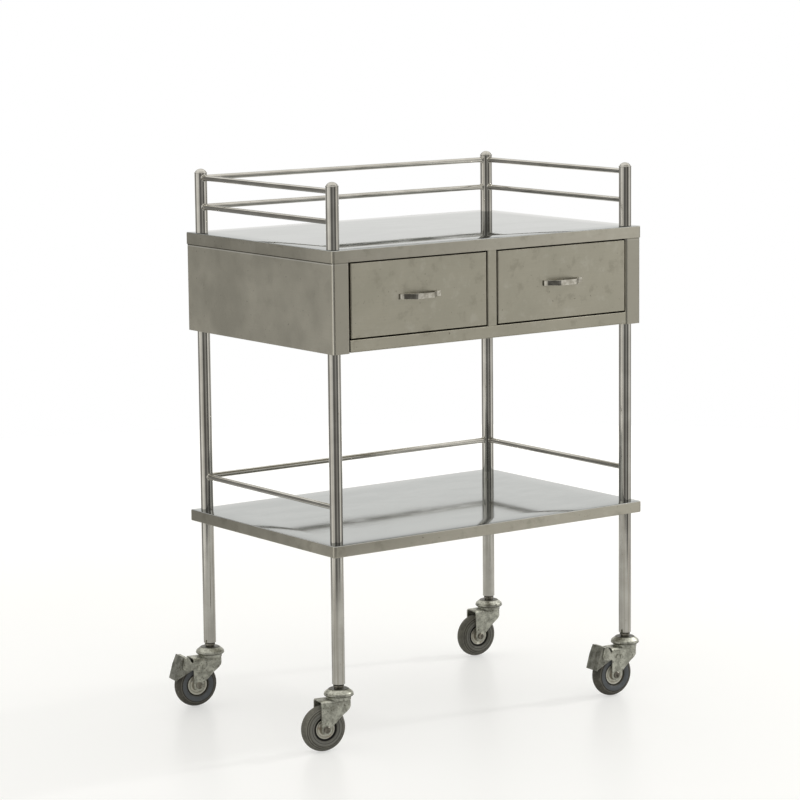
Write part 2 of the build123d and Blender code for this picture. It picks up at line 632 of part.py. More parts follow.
def brake_bracket():
    """Two waisted plates on the cheeks, joined by a web behind the hood."""
    near = FORK_HALF_IN + FORK_SHEET
    far = near + BRACKET_SHEET
    body = side_plate(BRACKET_OUTLINE, BRACKET_RADII, (near, far))
    body += side_plate(BRACKET_OUTLINE, BRACKET_RADII, (-far, -near))
    body += block(BRACKET_WEB, (-far, far), (BRACKET_TOP_Z - BRACKET_SHEET, BRACKET_TOP_Z))
    x, z = PEDAL_PIVOT
    body -= across(x, z, PEDAL_PIN_D, (-far - 1, far + 1))
    for rx, rz in RIVET_AT:
        body -= across(rx, rz, RIVET_D, (-far - 1, far + 1))
    return body


def brake_rivets():
    """Four rivets through the plates and cheeks, and the pedal's pin."""
    near = FORK_HALF_IN
    far = FORK_HALF_IN + FORK_SHEET + BRACKET_SHEET
    solids = []
    for side in (-1, 1):
        for x, z in RIVET_AT:
            shank = across(x, z, RIVET_D, sorted((side * near, side * far)))
            head = across(x, z, RIVET_HEAD_D, sorted((side * far, side * (far + RIVET_HEAD))))
            tail = across(x, z, RIVET_HEAD_D - 1, sorted((side * (near - RIVET_TAIL), side * near)))
            solids.append(shank + head + tail)
    x, z = PEDAL_PIVOT
    pin = across(x, z, PEDAL_PIN_D, (-far, far))
    for side in (-1, 1):
        pin += across(x, z, RIVET_HEAD_D, sorted((side * far, side * (far + RIVET_HEAD))))
    solids.append(pin)
    return group(solids)


def drilled_fork(name):
    body = fork()
    if name in BRAKED:
        out = FORK_HALF_IN + FORK_SHEET + 1
        for x, z in RIVET_AT:
            body -= across(x, z, RIVET_D, (-out, out))
    return body


def brake_pedal():
    """Kinked foot plate with an ear down each side to the pin."""
    ear_out = FORK_HALF_IN + FORK_SHEET - PEDAL_GAP
    ear_in = ear_out - PEDAL_SHEET
    section = sheet_section(FOOT_LINE, PEDAL_SHEET, FOOT_BEND_R)
    side_plane = Plane(origin=(0, ear_out, 0), x_dir=(1, 0, 0), z_dir=(0, -1, 0))
    body = extrude(side_plane * section, 2 * ear_out)
    for ys in ((ear_in, ear_out), (-ear_out, -ear_in)):
        body += side_plate(EAR_OUTLINE, EAR_RADII, ys)
    x, z = PEDAL_PIVOT
    return body - across(x, z, PEDAL_PIN_D + 2 * RUNNING, (-2 * ear_out, 2 * ear_out))


# ---------------------------------------------------------------- the whole cart
def frame_nodes():
    nodes = {}
    for name, (x, y) in zip(CASTERS, legs()):
        nodes[f"upright_{name}"] = Pos(x, y, 0) * upright()
    nodes["post_caps"] = group(at_each_leg(post_cap()))
    nodes["tube_plugs"] = group(at_each_leg(tube_plug()))
    nodes["upper_rails_left"] = side_rails(-1, UPPER_RAIL_ZS)
    nodes["upper_rails_right"] = side_rails(1, UPPER_RAIL_ZS)
    nodes["upper_rails_rear"] = rear_rails(UPPER_RAIL_ZS)
    lower = [LOWER_RAIL_Z]
    nodes["lower_rails"] = group([side_rails(-1, lower), side_rails(1, lower), rear_rails(lower)])
    nodes["top_tray"] = folded_top(TRAY_W, TRAY_D, TRAY_TOP_Z, TRAY_LIP)
    nodes["lower_shelf"] = lower_shelf()
    nodes["shelf_stiffeners"] = group([Pos(0, y, 0) * shelf_stiffener() for y in (-STIFFENER_Y, STIFFENER_Y)])
    return nodes


def cabinet_nodes():
    return {
        "cabinet_left_panel": side_panel(-1),
        "cabinet_right_panel": side_panel(1),
        "cabinet_back_panel": back_panel(),
        "cabinet_floor": cabinet_floor(),
        "front_bottom_rail": front_bottom_rail(),
        "front_center_stile": center_stile(),
        "drawer_divider": divider(),
        "drawer_channels": drawer_channels(),
    }


def drawer_nodes():
    makers = {"front": drawer_front, "box": drawer_box, "runners": drawer_runners,
              "handle": handle, "screws": handle_screws}
    nodes = {}
    for side, x in (("left", -bay_center()), ("right", bay_center())):
        for piece, make in makers.items():
            nodes[f"drawer_{piece}_{side}"] = Pos(x, 0, 0) * make()
    return nodes


def caster_nodes():
    nodes = {
        "caster_stems": group(at_each_leg(caster_stem())),
        "caster_cups": group(at_each_leg(caster_cup())),
        "swivel_balls": group([Pos(x, y, 0) * ball for x, y in legs() for ball in ball_ring()]),
    }
    makers = {"axle_bolt": axle_bolt, "axle_sleeve": axle_sleeve, "wheel_core": wheel_core, "tyre": tyre}
    for name in CASTERS:
        place = caster_place(name)
        nodes[f"caster_fork_{name}"] = place * drilled_fork(name)
        for piece, make in makers.items():
            nodes[f"{piece}_{name}"] = place * make()
    makers = {"bracket": brake_bracket, "rivets": brake_rivets, "pedal": brake_pedal}
    for name in BRAKED:
        for piece, make in makers.items():
            nodes[f"brake_{piece}_{name}"] = caster_place(name) * make()
    return nodes


def cart_nodes():
    """Every node, moved so that the origin is under the middle of the whole cart's box."""
    nodes = {**frame_nodes(), **cabinet_nodes(), **drawer_nodes(), **caster_nodes()}
    box = group(nodes.values()).bounding_box()
    shift = Pos(-(box.min.X + box.max.X) / 2, -(box.min.Y + box.max.Y) / 2, -box.min.Z)
    return {name: shift * shape for name, shape in nodes.items()}, shift.position


def main():
    os.makedirs("parts", exist_ok=True)
    nodes, _ = cart_nodes()
    for name, shape in nodes.items():
        export_step(shape, f"parts/{name}.step")


main()
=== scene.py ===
import bmesh
import bpy
import json
import math
import numpy as np
from mathutils import Matrix, Vector


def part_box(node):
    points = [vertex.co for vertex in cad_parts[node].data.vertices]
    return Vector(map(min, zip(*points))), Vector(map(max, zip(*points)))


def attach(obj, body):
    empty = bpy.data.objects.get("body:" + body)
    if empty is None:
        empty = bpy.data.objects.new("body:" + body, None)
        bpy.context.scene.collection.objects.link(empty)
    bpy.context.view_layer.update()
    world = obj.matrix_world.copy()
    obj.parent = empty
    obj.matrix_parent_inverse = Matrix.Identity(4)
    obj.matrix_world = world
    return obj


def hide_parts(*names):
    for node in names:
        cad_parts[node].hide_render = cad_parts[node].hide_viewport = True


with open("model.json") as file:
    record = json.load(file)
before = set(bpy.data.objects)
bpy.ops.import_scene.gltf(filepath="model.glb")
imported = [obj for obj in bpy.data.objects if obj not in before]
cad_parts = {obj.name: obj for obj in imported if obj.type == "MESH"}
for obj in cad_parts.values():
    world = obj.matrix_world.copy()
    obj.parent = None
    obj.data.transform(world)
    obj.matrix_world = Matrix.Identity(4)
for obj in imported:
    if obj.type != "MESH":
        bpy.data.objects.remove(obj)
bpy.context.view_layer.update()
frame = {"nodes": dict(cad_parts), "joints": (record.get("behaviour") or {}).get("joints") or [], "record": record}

# A stainless instrument cart: polished tubes, folded sheet, two drawers and four swivel casters.
# Metres, +Z up, +X to the right seen from the drawers, which open towards -Y.

CORNERS = ("front_left", "front_right", "rear_left", "rear_right")
BRAKED = ("front_right", "rear_left")
SIDES = ("left", "right")
JOINTS = {j["name"]: j for j in frame["joints"]}
MM = 0.001


# ---------------------------------------------------------------- where things are
def middle(node):
    lo, hi = (np.array(v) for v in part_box(node))
    return (lo + hi) / 2


LEG_AT = {c: middle(f"upright_{c}")[:2] for c in CORNERS}
FRAME_MIDDLE = np.append(sum(LEG_AT.values()) / 4, 0.0)
TUBE_LO, TUBE_HI = (np.array(v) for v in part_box("upright_front_left"))
TUBE_R = (TUBE_HI[0] - TUBE_LO[0]) / 2


class Spot:
    """A place on the cart with its own axes: x along, y across, z up."""

    def __init__(self, origin, along=(1, 0, 0), across=(0, 1, 0)):
        self.origin = np.array(origin, float)
        self.axes = np.array([along, across, np.cross(along, across)], float)

    def put(self, points):
        return points @ self.axes + self.origin


def caster_spot(corner):
    """Under the upright, with x along the caster's trail and y along its axle."""
    joint = JOINTS[f"wheel_{corner}_spin"]
    foot = np.append(LEG_AT[corner], 0.0)
    along = np.array(joint["pos_m"]) * (1, 1, 0) - foot
    return Spot(foot, along / np.linalg.norm(along), np.array(joint["axis"]))


# ---------------------------------------------------------------- surfaces
class Skin:
    """Points and faces of one surface, before it becomes a mesh."""

    def __init__(self, points, quads, caps=()):
        self.points, self.quads, self.caps = points, quads, list(caps)

    def moved(self, spot):
        return Skin(spot.put(self.points), self.quads, self.caps)


def woven(grid, round_rows=False, round_cols=False, caps=()):
    """Quads between the neighbouring points of a grid (rows, columns, xyz)."""
    rows, cols = grid.shape[:2]
    r, c = np.meshgrid(np.arange(rows - (not round_rows)), np.arange(cols - (not round_cols)), indexing="ij")
    r2, c2 = (r + 1) % rows, (c + 1) % cols
    quads = np.stack([r * cols + c, r2 * cols + c, r2 * cols + c2, r * cols + c2], -1).reshape(-1, 4)
    return Skin(grid.reshape(-1, 3), quads, caps)


def softened(points, radii, steps=6, closed=False):
    """A bent line with each corner rounded: where the line turns by an angle t, an arc of radius r
    starts r tan(t / 2) before the corner and ends as far after it."""
    pts = [np.array(p, float) for p in points]
    count = len(pts)
    radii = [radii] * count if np.isscalar(radii) else list(radii)
    out = []
    for i, p in enumerate(pts):
        if not closed and i in (0, count - 1) or radii[i] <= 0:
            out.append(p[None])
            continue
        a, b = pts[i - 1] - p, pts[(i + 1) % count] - p
        a, b = a / np.linalg.norm(a), b / np.linalg.norm(b)
        half = math.acos(max(-1.0, min(1.0, float(a @ b)))) / 2
        centre = p + (a + b) / np.linalg.norm(a + b) * radii[i] / math.sin(half)
        start, end = p + a * radii[i] / math.tan(half), p + b * radii[i] / math.tan(half)
        t = np.linspace(0, 1, steps)[:, None]
        sweep = math.pi - 2 * half
        u, v = start - centre, end - centre
        out.append(centre + (np.sin((1 - t) * sweep) * u + np.sin(t * sweep) * v) / math.sin(sweep))
    return np.concatenate(out)


def turned(profile, turns=64):
    """Surface of revolution about z: a point (r, h) goes to (r cos a, r sin a, h)."""
    profile = np.array(profile, float)
    a = np.arange(turns) / turns * 2 * math.pi
    ring = np.stack([np.cos(a), np.sin(a)], -1)
    grid = np.empty((len(profile), turns, 3))
    grid[..., :2] = profile[:, None, :1] * ring
    grid[..., 2] = profile[:, 1:]
    return woven(grid, round_cols=True)


def turned_across(profile, at, turns=96):
    """Surface of revolution about a line along y through (x, z): a point (r, d) goes to
    (x + r sin a, d, z + r cos a)."""
    skin = turned(profile, turns)
    x, y, z = skin.points.T
    return Skin(np.stack([at[0] + y, z, at[1] + x], -1), skin.quads)


def piped(path, radius, turns=10, closed=False):
    """A round bar along a path: each point carries a circle square to the path there, turned as little
    as possible from the last by taking the same up direction."""
    path = np.array(path, float)
    ahead = np.roll(path, -1, 0) - np.roll(path, 1, 0) if closed else np.gradient(path, axis=0)
    ahead /= np.linalg.norm(ahead, axis=1)[:, None]
    up = np.array([0.137, 0.211, 0.967])
    side = np.cross(ahead, up)
    side /= np.linalg.norm(side, axis=1)[:, None]
    over = np.cross(side, ahead)
    a = np.arange(turns) / turns * 2 * math.pi
    radius = np.broadcast_to(np.asarray(radius, float), (len(path),))[:, None, None]
    circle = np.cos(a)[None, :, None] * side[:, None] + np.sin(a)[None, :, None] * over[:, None]
    grid = path[:, None] + radius * circle
    last = (len(path) - 1) * turns
    caps = [] if closed else [list(range(turns)), list(range(last, last + turns))[::-1]]
    return woven(grid, round_rows=closed, round_cols=True, caps=caps)


def finished(name, skins, body, material, replaces, sharp=32):
    """Joins skins into one closed mesh with outward faces, and hands it to the frame."""
    skins = skins if isinstance(skins, (list, tuple)) else [skins]
    points, faces, start = [], [], 0
    for skin in skins:
        points.append(skin.points)
        faces += (skin.quads + start).tolist()
        faces += [[i + start for i in cap] for cap in skin.caps]
        start += len(skin.points)
    mesh = bpy.data.meshes.new(name)
    mesh.from_pydata(np.concatenate(points).tolist(), [], faces)
    shell = bmesh.new()
    shell.from_mesh(mesh)
    bmesh.ops.remove_doubles(shell, verts=shell.verts, dist=2e-6)
    bmesh.ops.recalc_face_normals(shell, faces=shell.faces)
    shell.to_mesh(mesh)
    shell.free()
    mesh.shade_smooth()
    mesh.set_sharp_from_angle(angle=math.radians(sharp))
    piece = bpy.data.objects.new(name, mesh)
    bpy.context.scene.collection.objects.link(piece)
    mesh.materials.append(material)
    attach(piece, body)
    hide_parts(*replaces)
    return piece


def points_of(piece):
    flat = np.empty(len(piece.data.vertices) * 3, np.float32)
    piece.data.vertices.foreach_get("co", flat)
    return flat.reshape(-1, 3).astype(float)


def mark(piece, attribute, values):
    """Keeps one number on each point of a piece, where its finish can read it."""
    piece.data.attributes.new(attribute, "FLOAT", "POINT").data.foreach_set("value", values)


# ---------------------------------------------------------------- finishes
class Wire:
    """One value in a finish. Sums written on it add Math nodes."""

    def __init__(self, bench, socket):
        self.bench, self.socket = bench, socket

    def math(self, operation, *others):
        return self.bench.node("ShaderNodeMath", {"operation": operation}, {
            i: v for i, v in enumerate((self, *others))})

    def __add__(self, other):
        return self.math("ADD", other)

    def __sub__(self, other):
        return self.math("SUBTRACT", other)

    def __mul__(self, other):
        return self.math("MULTIPLY", other)

    def __rsub__(self, other):
        return (self * -1) + other

    __radd__, __rmul__ = __add__, __mul__

    def between(self, lo, hi):
        """0 below lo, 1 above hi, smooth between."""
        return self.bench.node("ShaderNodeMapRange", {"interpolation_type": "SMOOTHSTEP"}, {
            "Value": self, "From Min": lo, "From Max": hi})


class Bench:
    """Where one finish is mixed: a material with its main shader and the metal's own coordinates."""

    def __init__(self, name, **constants):
        self.material = bpy.data.materials.new(name)
        self.material.use_nodes = True
        self.tree = self.material.node_tree
        self.shader = self.tree.nodes["Principled BSDF"]
        for socket, value in constants.items():
            self.shader.inputs[socket.replace("_", " ")].default_value = value
        self.spot = self.node("ShaderNodeTexCoord", {}, {}, "Object")

    def node(self, kind, settings, sockets, output=0):
        made = self.tree.nodes.new(kind)
        for key, value in settings.items():
            if key == "stops":
                ramp = made.color_ramp.elements
                while len(ramp) < len(value):
                    ramp.new(0.5)
                for stop, (place, shade) in zip(ramp, value):
                    stop.position, stop.color = place, (*shade, 1.0)
            else:
                setattr(made, key, value)
        for key, value in sockets.items():
            if isinstance(value, Wire):
                self.tree.links.new(value.socket, made.inputs[key])
            else:
                made.inputs[key].default_value = value
        return Wire(self, made.outputs[output])

    def stretched(self, scale):
        return self.node("ShaderNodeMapping", {}, {"Vector": self.spot, "Scale": scale})

    def cloud(self, size, detail=3.0, rough=0.55, stretch=(1, 1, 1)):
        """Soft blotches about this many metres across, from 0 to 1 around 0.5."""
        vector = self.stretched(tuple(s / size for s in stretch))
        return self.node("ShaderNodeTexNoise", {}, {
            "Vector": vector, "Scale": 1.0, "Detail": detail, "Roughness": rough})

    def tint(self, factor, low, high):
        return self.node("ShaderNodeMix", {"data_type": "RGBA"}, {
            "Factor": factor, "A": (*low, 1.0), "B": (*high, 1.0)}, 2)

    def over(self, factor, below, above):
        above = above if isinstance(above, Wire) else (*above, 1.0)
        return self.node("ShaderNodeMix", {"data_type": "RGBA"}, {
            "Factor": factor, "A": below, "B": above}, 2)

    def bumped(self, height, depth):
        return self.node("ShaderNodeBump", {}, {"Height": height, "Distance": depth, "Strength": 1.0})

    def done(self, **wires):
        for socket, wire in wires.items():
            self.tree.links.new(wire.socket, self.shader.inputs[socket.replace("_", " ")])
        return self.material


def height_of(bench):
    return bench.node("ShaderNodeSeparateXYZ", {}, {"Vector": bench.spot}, "Z")


def polished_tube(name, streak_depth, along=(1, 1, 0.012)):
    """Bright drawn tube: long streaks left by the drawing, faint smears, small brown spots."""
    b = Bench(name, Metallic=1.0, Specular_IOR_Level=0.5)
    smears = b.cloud(0.05, 4.0)
    marks = b.cloud(0.0016, 2.0, stretch=along)
    streaks = b.cloud(0.0045, 2.0, stretch=along)
    spots = b.cloud(0.007, 3.0).between(0.66, 0.76)
    colour = b.tint(smears.between(0.35, 0.7), (0.52, 0.505, 0.46), (0.64, 0.625, 0.575))
    colour = b.over(streaks.between(0.50, 0.68) * streak_depth, colour, (0.33, 0.305, 0.255))
    colour = b.over(spots * 0.35, colour, (0.27, 0.22, 0.15))
    rough = 0.055 + smears.between(0.45, 0.75) * 0.07 + marks * 0.03
    return b.done(Base_Color=colour, Roughness=rough, Normal=b.bumped(marks, 0.000012))


LIP_FOOT_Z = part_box("top_tray")[0].z
PANEL_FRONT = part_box("cabinet_left_panel")[0].y
PANEL_OUT = FRAME_MIDDLE[0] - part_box("cabinet_left_panel")[0].x


def satin_colour(b, low, high, smudged=1.0):
    """Wipe marks, smudges and a few specks on brushed sheet."""
    clouds = b.cloud(0.09, 4.0, 0.6)
    broad = b.cloud(0.35, 2.0)
    grain = b.cloud(0.0012, 2.0, 0.7, stretch=(0.03, 0.03, 1))
    specks = b.cloud(0.0055, 2.0, 0.5).between(0.715, 0.77)
    stains = b.cloud(0.03, 4.0, 0.65)
    colour = b.tint((clouds * 0.6 + broad * 0.4).between(0.35, 0.66), low, high)
    colour = b.over(grain.between(0.3, 0.75) * 0.22, colour, tuple(v * 0.8 for v in high))
    colour = b.over(stains.between(0.54, 0.70) * (0.36 * smudged), colour, (0.28, 0.262, 0.205))
    colour = b.over((1.0 - stains.between(0.30, 0.46)) * (0.3 * smudged), colour, (0.60, 0.585, 0.51))
    colour = b.over(specks * 0.6, colour, (0.15, 0.13, 0.10))
    return colour, clouds, grain, broad


def satin_sheet(name, low, high, rough_from, lip_line=False):
    """Cabinet sheet: a grain of fine level scratches, cloudy wipe marks and a few dark specks. On the sides
    there is also a painted shadow line under the tray's lip with a painted highlight just below it, a painted
    highlight down the front fold, and painted shade on the front stile."""
    b = Bench(name, Metallic=1.0)
    colour, clouds, grain, broad = satin_colour(b, low, high, 0.35 if lip_line else 1.0)
    if lip_line:
        # Painted shadow: a near-black line just under the tray's lip.
        drop = LIP_FOOT_Z - height_of(b)
        colour = b.over(1.0 - drop.between(0.0008, 0.0024), colour, (0.09, 0.085, 0.07))
        # Painted highlight: a light line just below that painted shadow.
        wear_and_highlight = drop.between(0.0016, 0.0026) * (1.0 - drop.between(0.0030, 0.0042))
        colour = b.over(wear_and_highlight * 0.8, colour, (0.86, 0.85, 0.79))
        place = b.node("ShaderNodeSeparateXYZ", {}, {"Vector": b.spot}, "X")
        aside = (place - FRAME_MIDDLE[0]).math("ABSOLUTE")
        back = b.node("ShaderNodeSeparateXYZ", {}, {"Vector": b.spot}, "Y") - PANEL_FRONT
        # Painted highlight: a light line down the side panel's front fold.
        fold = (1.0 - back.between(0.0014, 0.0024)) * aside.between(PANEL_OUT - 0.0020, PANEL_OUT - 0.0010)
        colour = b.over(fold * 0.7, colour, (0.88, 0.86, 0.79))
        # Painted shade on the front stile, the side panel's front face.
        on_front = 1.0 - back.between(0.0004, 0.0012)
        colour = b.over(on_front * (1.0 - fold) * 0.7, colour, (0.36, 0.345, 0.29))
    rough = rough_from + clouds.between(0.3, 0.7) * 0.08 + grain * 0.06
    return b.done(Base_Color=colour, Roughness=rough, Normal=b.bumped(grain + broad * 3.0, 0.00003))


def folded_top_sheet(name, top_z, low, high, mirror_from, waviness):
    """Tray or shelf: a near mirror on top, gently wavy and wiped, and brushed down the lips."""
    b = Bench(name, Metallic=1.0, Specular_Tint=(0.80, 0.815, 0.82, 1.0))
    height = height_of(b)
    on_top = height.between(top_z - 0.0012, top_z - 0.0004)
    lip, clouds, grain, broad = satin_colour(b, (0.46, 0.44, 0.37), (0.55, 0.526, 0.447))
    wipes = b.cloud(0.10, 5.0, 0.6, stretch=(1, 2.2, 1))
    waves = b.cloud(0.22, 1.0)
    colour = b.over(on_top, lip, b.tint(wipes.between(0.35, 0.7), low, high))
    mirror = mirror_from + wipes.between(0.45, 0.75) * 0.07 + grain * 0.02
    rough = mirror * on_top + (0.30 + clouds.between(0.3, 0.7) * 0.08 + grain * 0.06) * (1.0 - on_top)
    surface = b.bumped(waves * waviness + grain * 0.5, 0.00003)
    return b.done(Base_Color=colour, Roughness=rough, Normal=surface)


def bright_strip():
    b = Bench("bright_strip", Metallic=1.0)
    clouds = b.cloud(0.01, 3.0)
    colour = b.tint(clouds.between(0.35, 0.65), (0.34, 0.322, 0.275), (0.56, 0.54, 0.48))
    return b.done(Base_Color=colour, Roughness=0.06 + clouds * 0.08)


def dull_zinc(name="dull_zinc", shade=1.0, edges=False):
    """Caster pressings: grey plating gone dull, pale in patches, with grime specks, and where edges is set,
    painted shade along the marked edges.
    """
    b = Bench(name, Metallic=0.85)
    clouds = b.cloud(0.012, 4.0, 0.65)
    dirt = b.cloud(0.0035, 3.0, 0.6)
    worn, bright = (tuple(v * shade for v in c) for c in ((0.32, 0.32, 0.27), (0.64, 0.645, 0.56)))
    colour = b.tint(clouds.between(0.34, 0.66), worn, bright)
    colour = b.over(dirt.between(0.57, 0.68) * 0.75, colour, (0.10, 0.092, 0.068))
    wear_and_highlight = tuple(v * shade for v in (0.75, 0.76, 0.70))
    colour = b.over((1.0 - dirt.between(0.28, 0.42)) * 0.35, colour, wear_and_highlight)
    if edges:
        # Painted shade: dark within a few millimetres of a marked edge.
        rim = b.node("ShaderNodeAttribute", {"attribute_name": "from_edge"}, {}, "Fac")
        colour = b.over((1.0 - rim.between(0.0010, 0.0030)) * 0.85, colour, (0.07, 0.066, 0.052))
    rough = 0.30 + clouds.between(0.3, 0.7) * 0.18
    return b.done(Base_Color=colour, Roughness=rough, Normal=b.bumped(clouds + dirt * 0.4, 0.0004))


def turned_steel():
    b = Bench("turned_steel", Metallic=1.0)
    clouds = b.cloud(0.006, 3.0)
    colour = b.tint(clouds.between(0.3, 0.7), (0.10, 0.092, 0.075), (0.34, 0.32, 0.27))
    return b.done(Base_Color=colour, Roughness=0.24 + clouds * 0.2)


def cast_centre(name, dark_from):
    """Wheel centre: pale dull metal with faint rusty smudges, darker brown round the hub boss, and a near-black
    painted shadow in the crease under the tyre's bead.
    """
    b = Bench(name, Metallic=0.7)
    radius = b.node("ShaderNodeAttribute", {"attribute_name": "radius"}, {}, "Fac")
    clouds = b.cloud(0.01, 4.0)
    rust = b.cloud(0.008, 3.0).between(0.54, 0.70)
    colour = b.tint(clouds, (0.60, 0.585, 0.50), (0.80, 0.79, 0.70))
    colour = b.over(rust * 0.5, colour, (0.33, 0.20, 0.09))
    colour = b.over((1.0 - radius.between(0.0098, 0.0118)) * 0.6, colour, (0.16, 0.13, 0.09))
    # Painted shadow: near black from dark_from outwards, in the crease under the tyre's bead.
    colour = b.over(radius.between(dark_from, dark_from + 0.001) * 0.96, colour, (0.006, 0.006, 0.006))
    return b.done(Base_Color=colour, Roughness=0.4 + clouds * 0.2)


def grey_rubber(name, tread, wall, wall_from, wall_to, crease_to, lines):
    """Tyre: scuffed rubber, its side wall a ring of another grey, with painted shade in its round grooves and a
    painted highlight just outside each, and a near-black painted shadow in the crease round the core."""
    b = Bench(name, Metallic=0.0, Specular_IOR_Level=0.4)
    radius = b.node("ShaderNodeAttribute", {"attribute_name": "radius"}, {}, "Fac")
    clouds = b.cloud(0.012, 5.0, 0.65)
    dust = b.cloud(0.03, 3.0)
    scuffs = b.cloud(0.005, 4.0, 0.7).between(0.52, 0.74)
    colour = b.tint(clouds.between(0.3, 0.7), tread, tuple(v * 1.5 for v in tread))
    colour = b.over(scuffs * 0.55, colour, (0.29, 0.275, 0.23))
    ring = radius.between(wall_from, wall_from + 0.0012) * (1.0 - radius.between(wall_to - 0.0012, wall_to))
    colour = b.over(ring * (0.6 + dust * 0.4), colour, wall)
    for at in lines:
        # Painted shade in each groove, and a painted highlight (glint) just outside it.
        line = radius.between(at - 0.0009, at - 0.0001) * (1.0 - radius.between(at + 0.0001, at + 0.0009))
        colour = b.over(line * 0.6, colour, (0.03, 0.03, 0.026))
        glint = radius.between(at + 0.0006, at + 0.0012) * (1.0 - radius.between(at + 0.0014, at + 0.0022))
        colour = b.over(glint * 0.4, colour, (0.33, 0.32, 0.28))
    # Painted shadow, near black, in the crease round the core.
    crease = 1.0 - radius.between(crease_to - 0.0012, crease_to)
    colour = b.over(crease * 0.95, colour, (0.006, 0.006, 0.006))
    rough = 0.55 + clouds * 0.2
    return b.done(Base_Color=colour, Roughness=rough, Normal=b.bumped(clouds, 0.0003))


def black_bush():
    b = Bench("black_bush", Metallic=0.0)
    clouds = b.cloud(0.004, 3.0)
    colour = b.tint(clouds, (0.012, 0.012, 0.012), (0.03, 0.03, 0.028))
    return b.done(Base_Color=colour, Roughness=0.5 + clouds * 0.2)


TUBE = polished_tube("polished_tube", 0.5)
RAIL = polished_tube("polished_rail", 0.25, (0.01, 0.01, 1))
SHEET = satin_sheet("satin_sheet", (0.42, 0.403, 0.327), (0.51, 0.487, 0.398), 0.30)
# The side panels take a lighter copy of the cabinet sheet's colours: painted light for the brighter light the
# sides catch.
SIDE_SHEET = satin_sheet("side_sheet", (0.55, 0.528, 0.443), (0.65, 0.623, 0.528), 0.30, lip_line=True)
TRAY_TOP = folded_top_sheet("tray_sheet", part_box("top_tray")[1].z,
                            (0.33, 0.343, 0.343), (0.405, 0.42, 0.42), 0.012, 7)
SHELF_TOP = folded_top_sheet("shelf_sheet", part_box("lower_shelf")[1].z,
                             (0.44, 0.45, 0.445), (0.50, 0.51, 0.503), 0.06, 2.5)
STRIP = bright_strip()
ZINC = dull_zinc()
PRESSED_ZINC = dull_zinc("pressed_zinc", edges=True)
STEEL = turned_steel()
CENTRE = cast_centre("cast_centre", 0.0166)
BRAKED_CENTRE = cast_centre("braked_centre", 0.0180)
TREAD_LINES = (0.0255, 0.0310, 0.0342)             # radii of the grooves in the plain tyres
RUBBER = grey_rubber("grey_rubber", (0.115, 0.112, 0.092), (0.19, 0.19, 0.17), 0.021, 0.030, 0.0214,
                     TREAD_LINES)
DARK_RUBBER = grey_rubber("dark_rubber", (0.062, 0.058, 0.046), (0.125, 0.138, 0.152), 0.0208, 0.0305, 0.0204,
                          (0.0312,))
WORN = dull_zinc("worn_plate", 0.62)
BUSH = black_bush()
FINISHES = {
    "polished_tube": TUBE, "tray_sheet": TRAY_TOP, "cabinet_sheet": SHEET, "bright_strip": STRIP,
    "zinc_steel": ZINC, "bare_steel": STEEL, "bush_plastic": BUSH, "wheel_centre": CENTRE,
    "grey_rubber": RUBBER,
}


SPECIAL = {
    "cabinet_left_panel": SIDE_SHEET, "cabinet_right_panel": SIDE_SHEET,
    "brake_pedal_front_right": WORN, "brake_pedal_rear_left": WORN,
}


def dress_frame():
    """Every node that stays gets the finish of its slot, or its own."""
    for part in frame["record"]["subparts"]:
        for slot in frame["nodes"][part["node"]].material_slots:
            slot.material = SPECIAL.get(part["node"], FINISHES[part["material_slot"]])


# ---------------------------------------------------------------- tubes, caps and rails
TUBE_WALL = 1.2 * MM
RAIL_R = 4.8 * MM
BEAD_R = 1.7 * MM


def tube(corner):
    """Upright: a ring section turned about its axis, its ends slightly softened."""
    lo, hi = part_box(f"upright_{corner}")
    inner = TUBE_R - TUBE_WALL
    square = [(TUBE_R, lo.z), (TUBE_R, hi.z), (inner, hi.z), (inner, lo.z)]
    section = softened(square, 0.4 * MM, 4, closed=True)
    ring = turned(section, 72)
    wall = woven(ring.points.reshape(len(section), 72, 3), round_rows=True, round_cols=True)
    finished(f"tube_{corner}", wall.moved(Spot((*LEG_AT[corner], 0))), "root", TUBE,
             [f"upright_{corner}"])


def caps():
    """Domed caps: a rim on the tube, then an arc of a circle centred on the axis, turned about it."""
    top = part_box("post_caps")[1].z
    foot = TUBE_HI[2]
    rim_r, dome_r, rim = TUBE_R + 0.3 * MM, TUBE_R - 0.3 * MM, 1.3 * MM
    rise = top - foot - rim
    ball = (dome_r ** 2 + rise ** 2) / (2 * rise)
    angle = np.linspace(math.asin(dome_r / ball), 0, 14)
    dome = np.stack([ball * np.sin(angle), top - ball + ball * np.cos(angle)], -1)
    edge = softened([(0, foot), (rim_r, foot), (rim_r, foot + rim), (dome_r - 1 * MM, foot + rim + 0.9 * MM)],
                    [0, 0.2 * MM, 0.7 * MM, 0], 4)
    dome = dome[dome[:, 1] > foot + rim + 1.0 * MM]
    cap = turned(np.concatenate([edge, dome]), 56)
    skins = [cap.moved(Spot((*LEG_AT[c], 0))) for c in CORNERS]
    finished("domed_caps", skins, "root", TUBE, ["post_caps"])


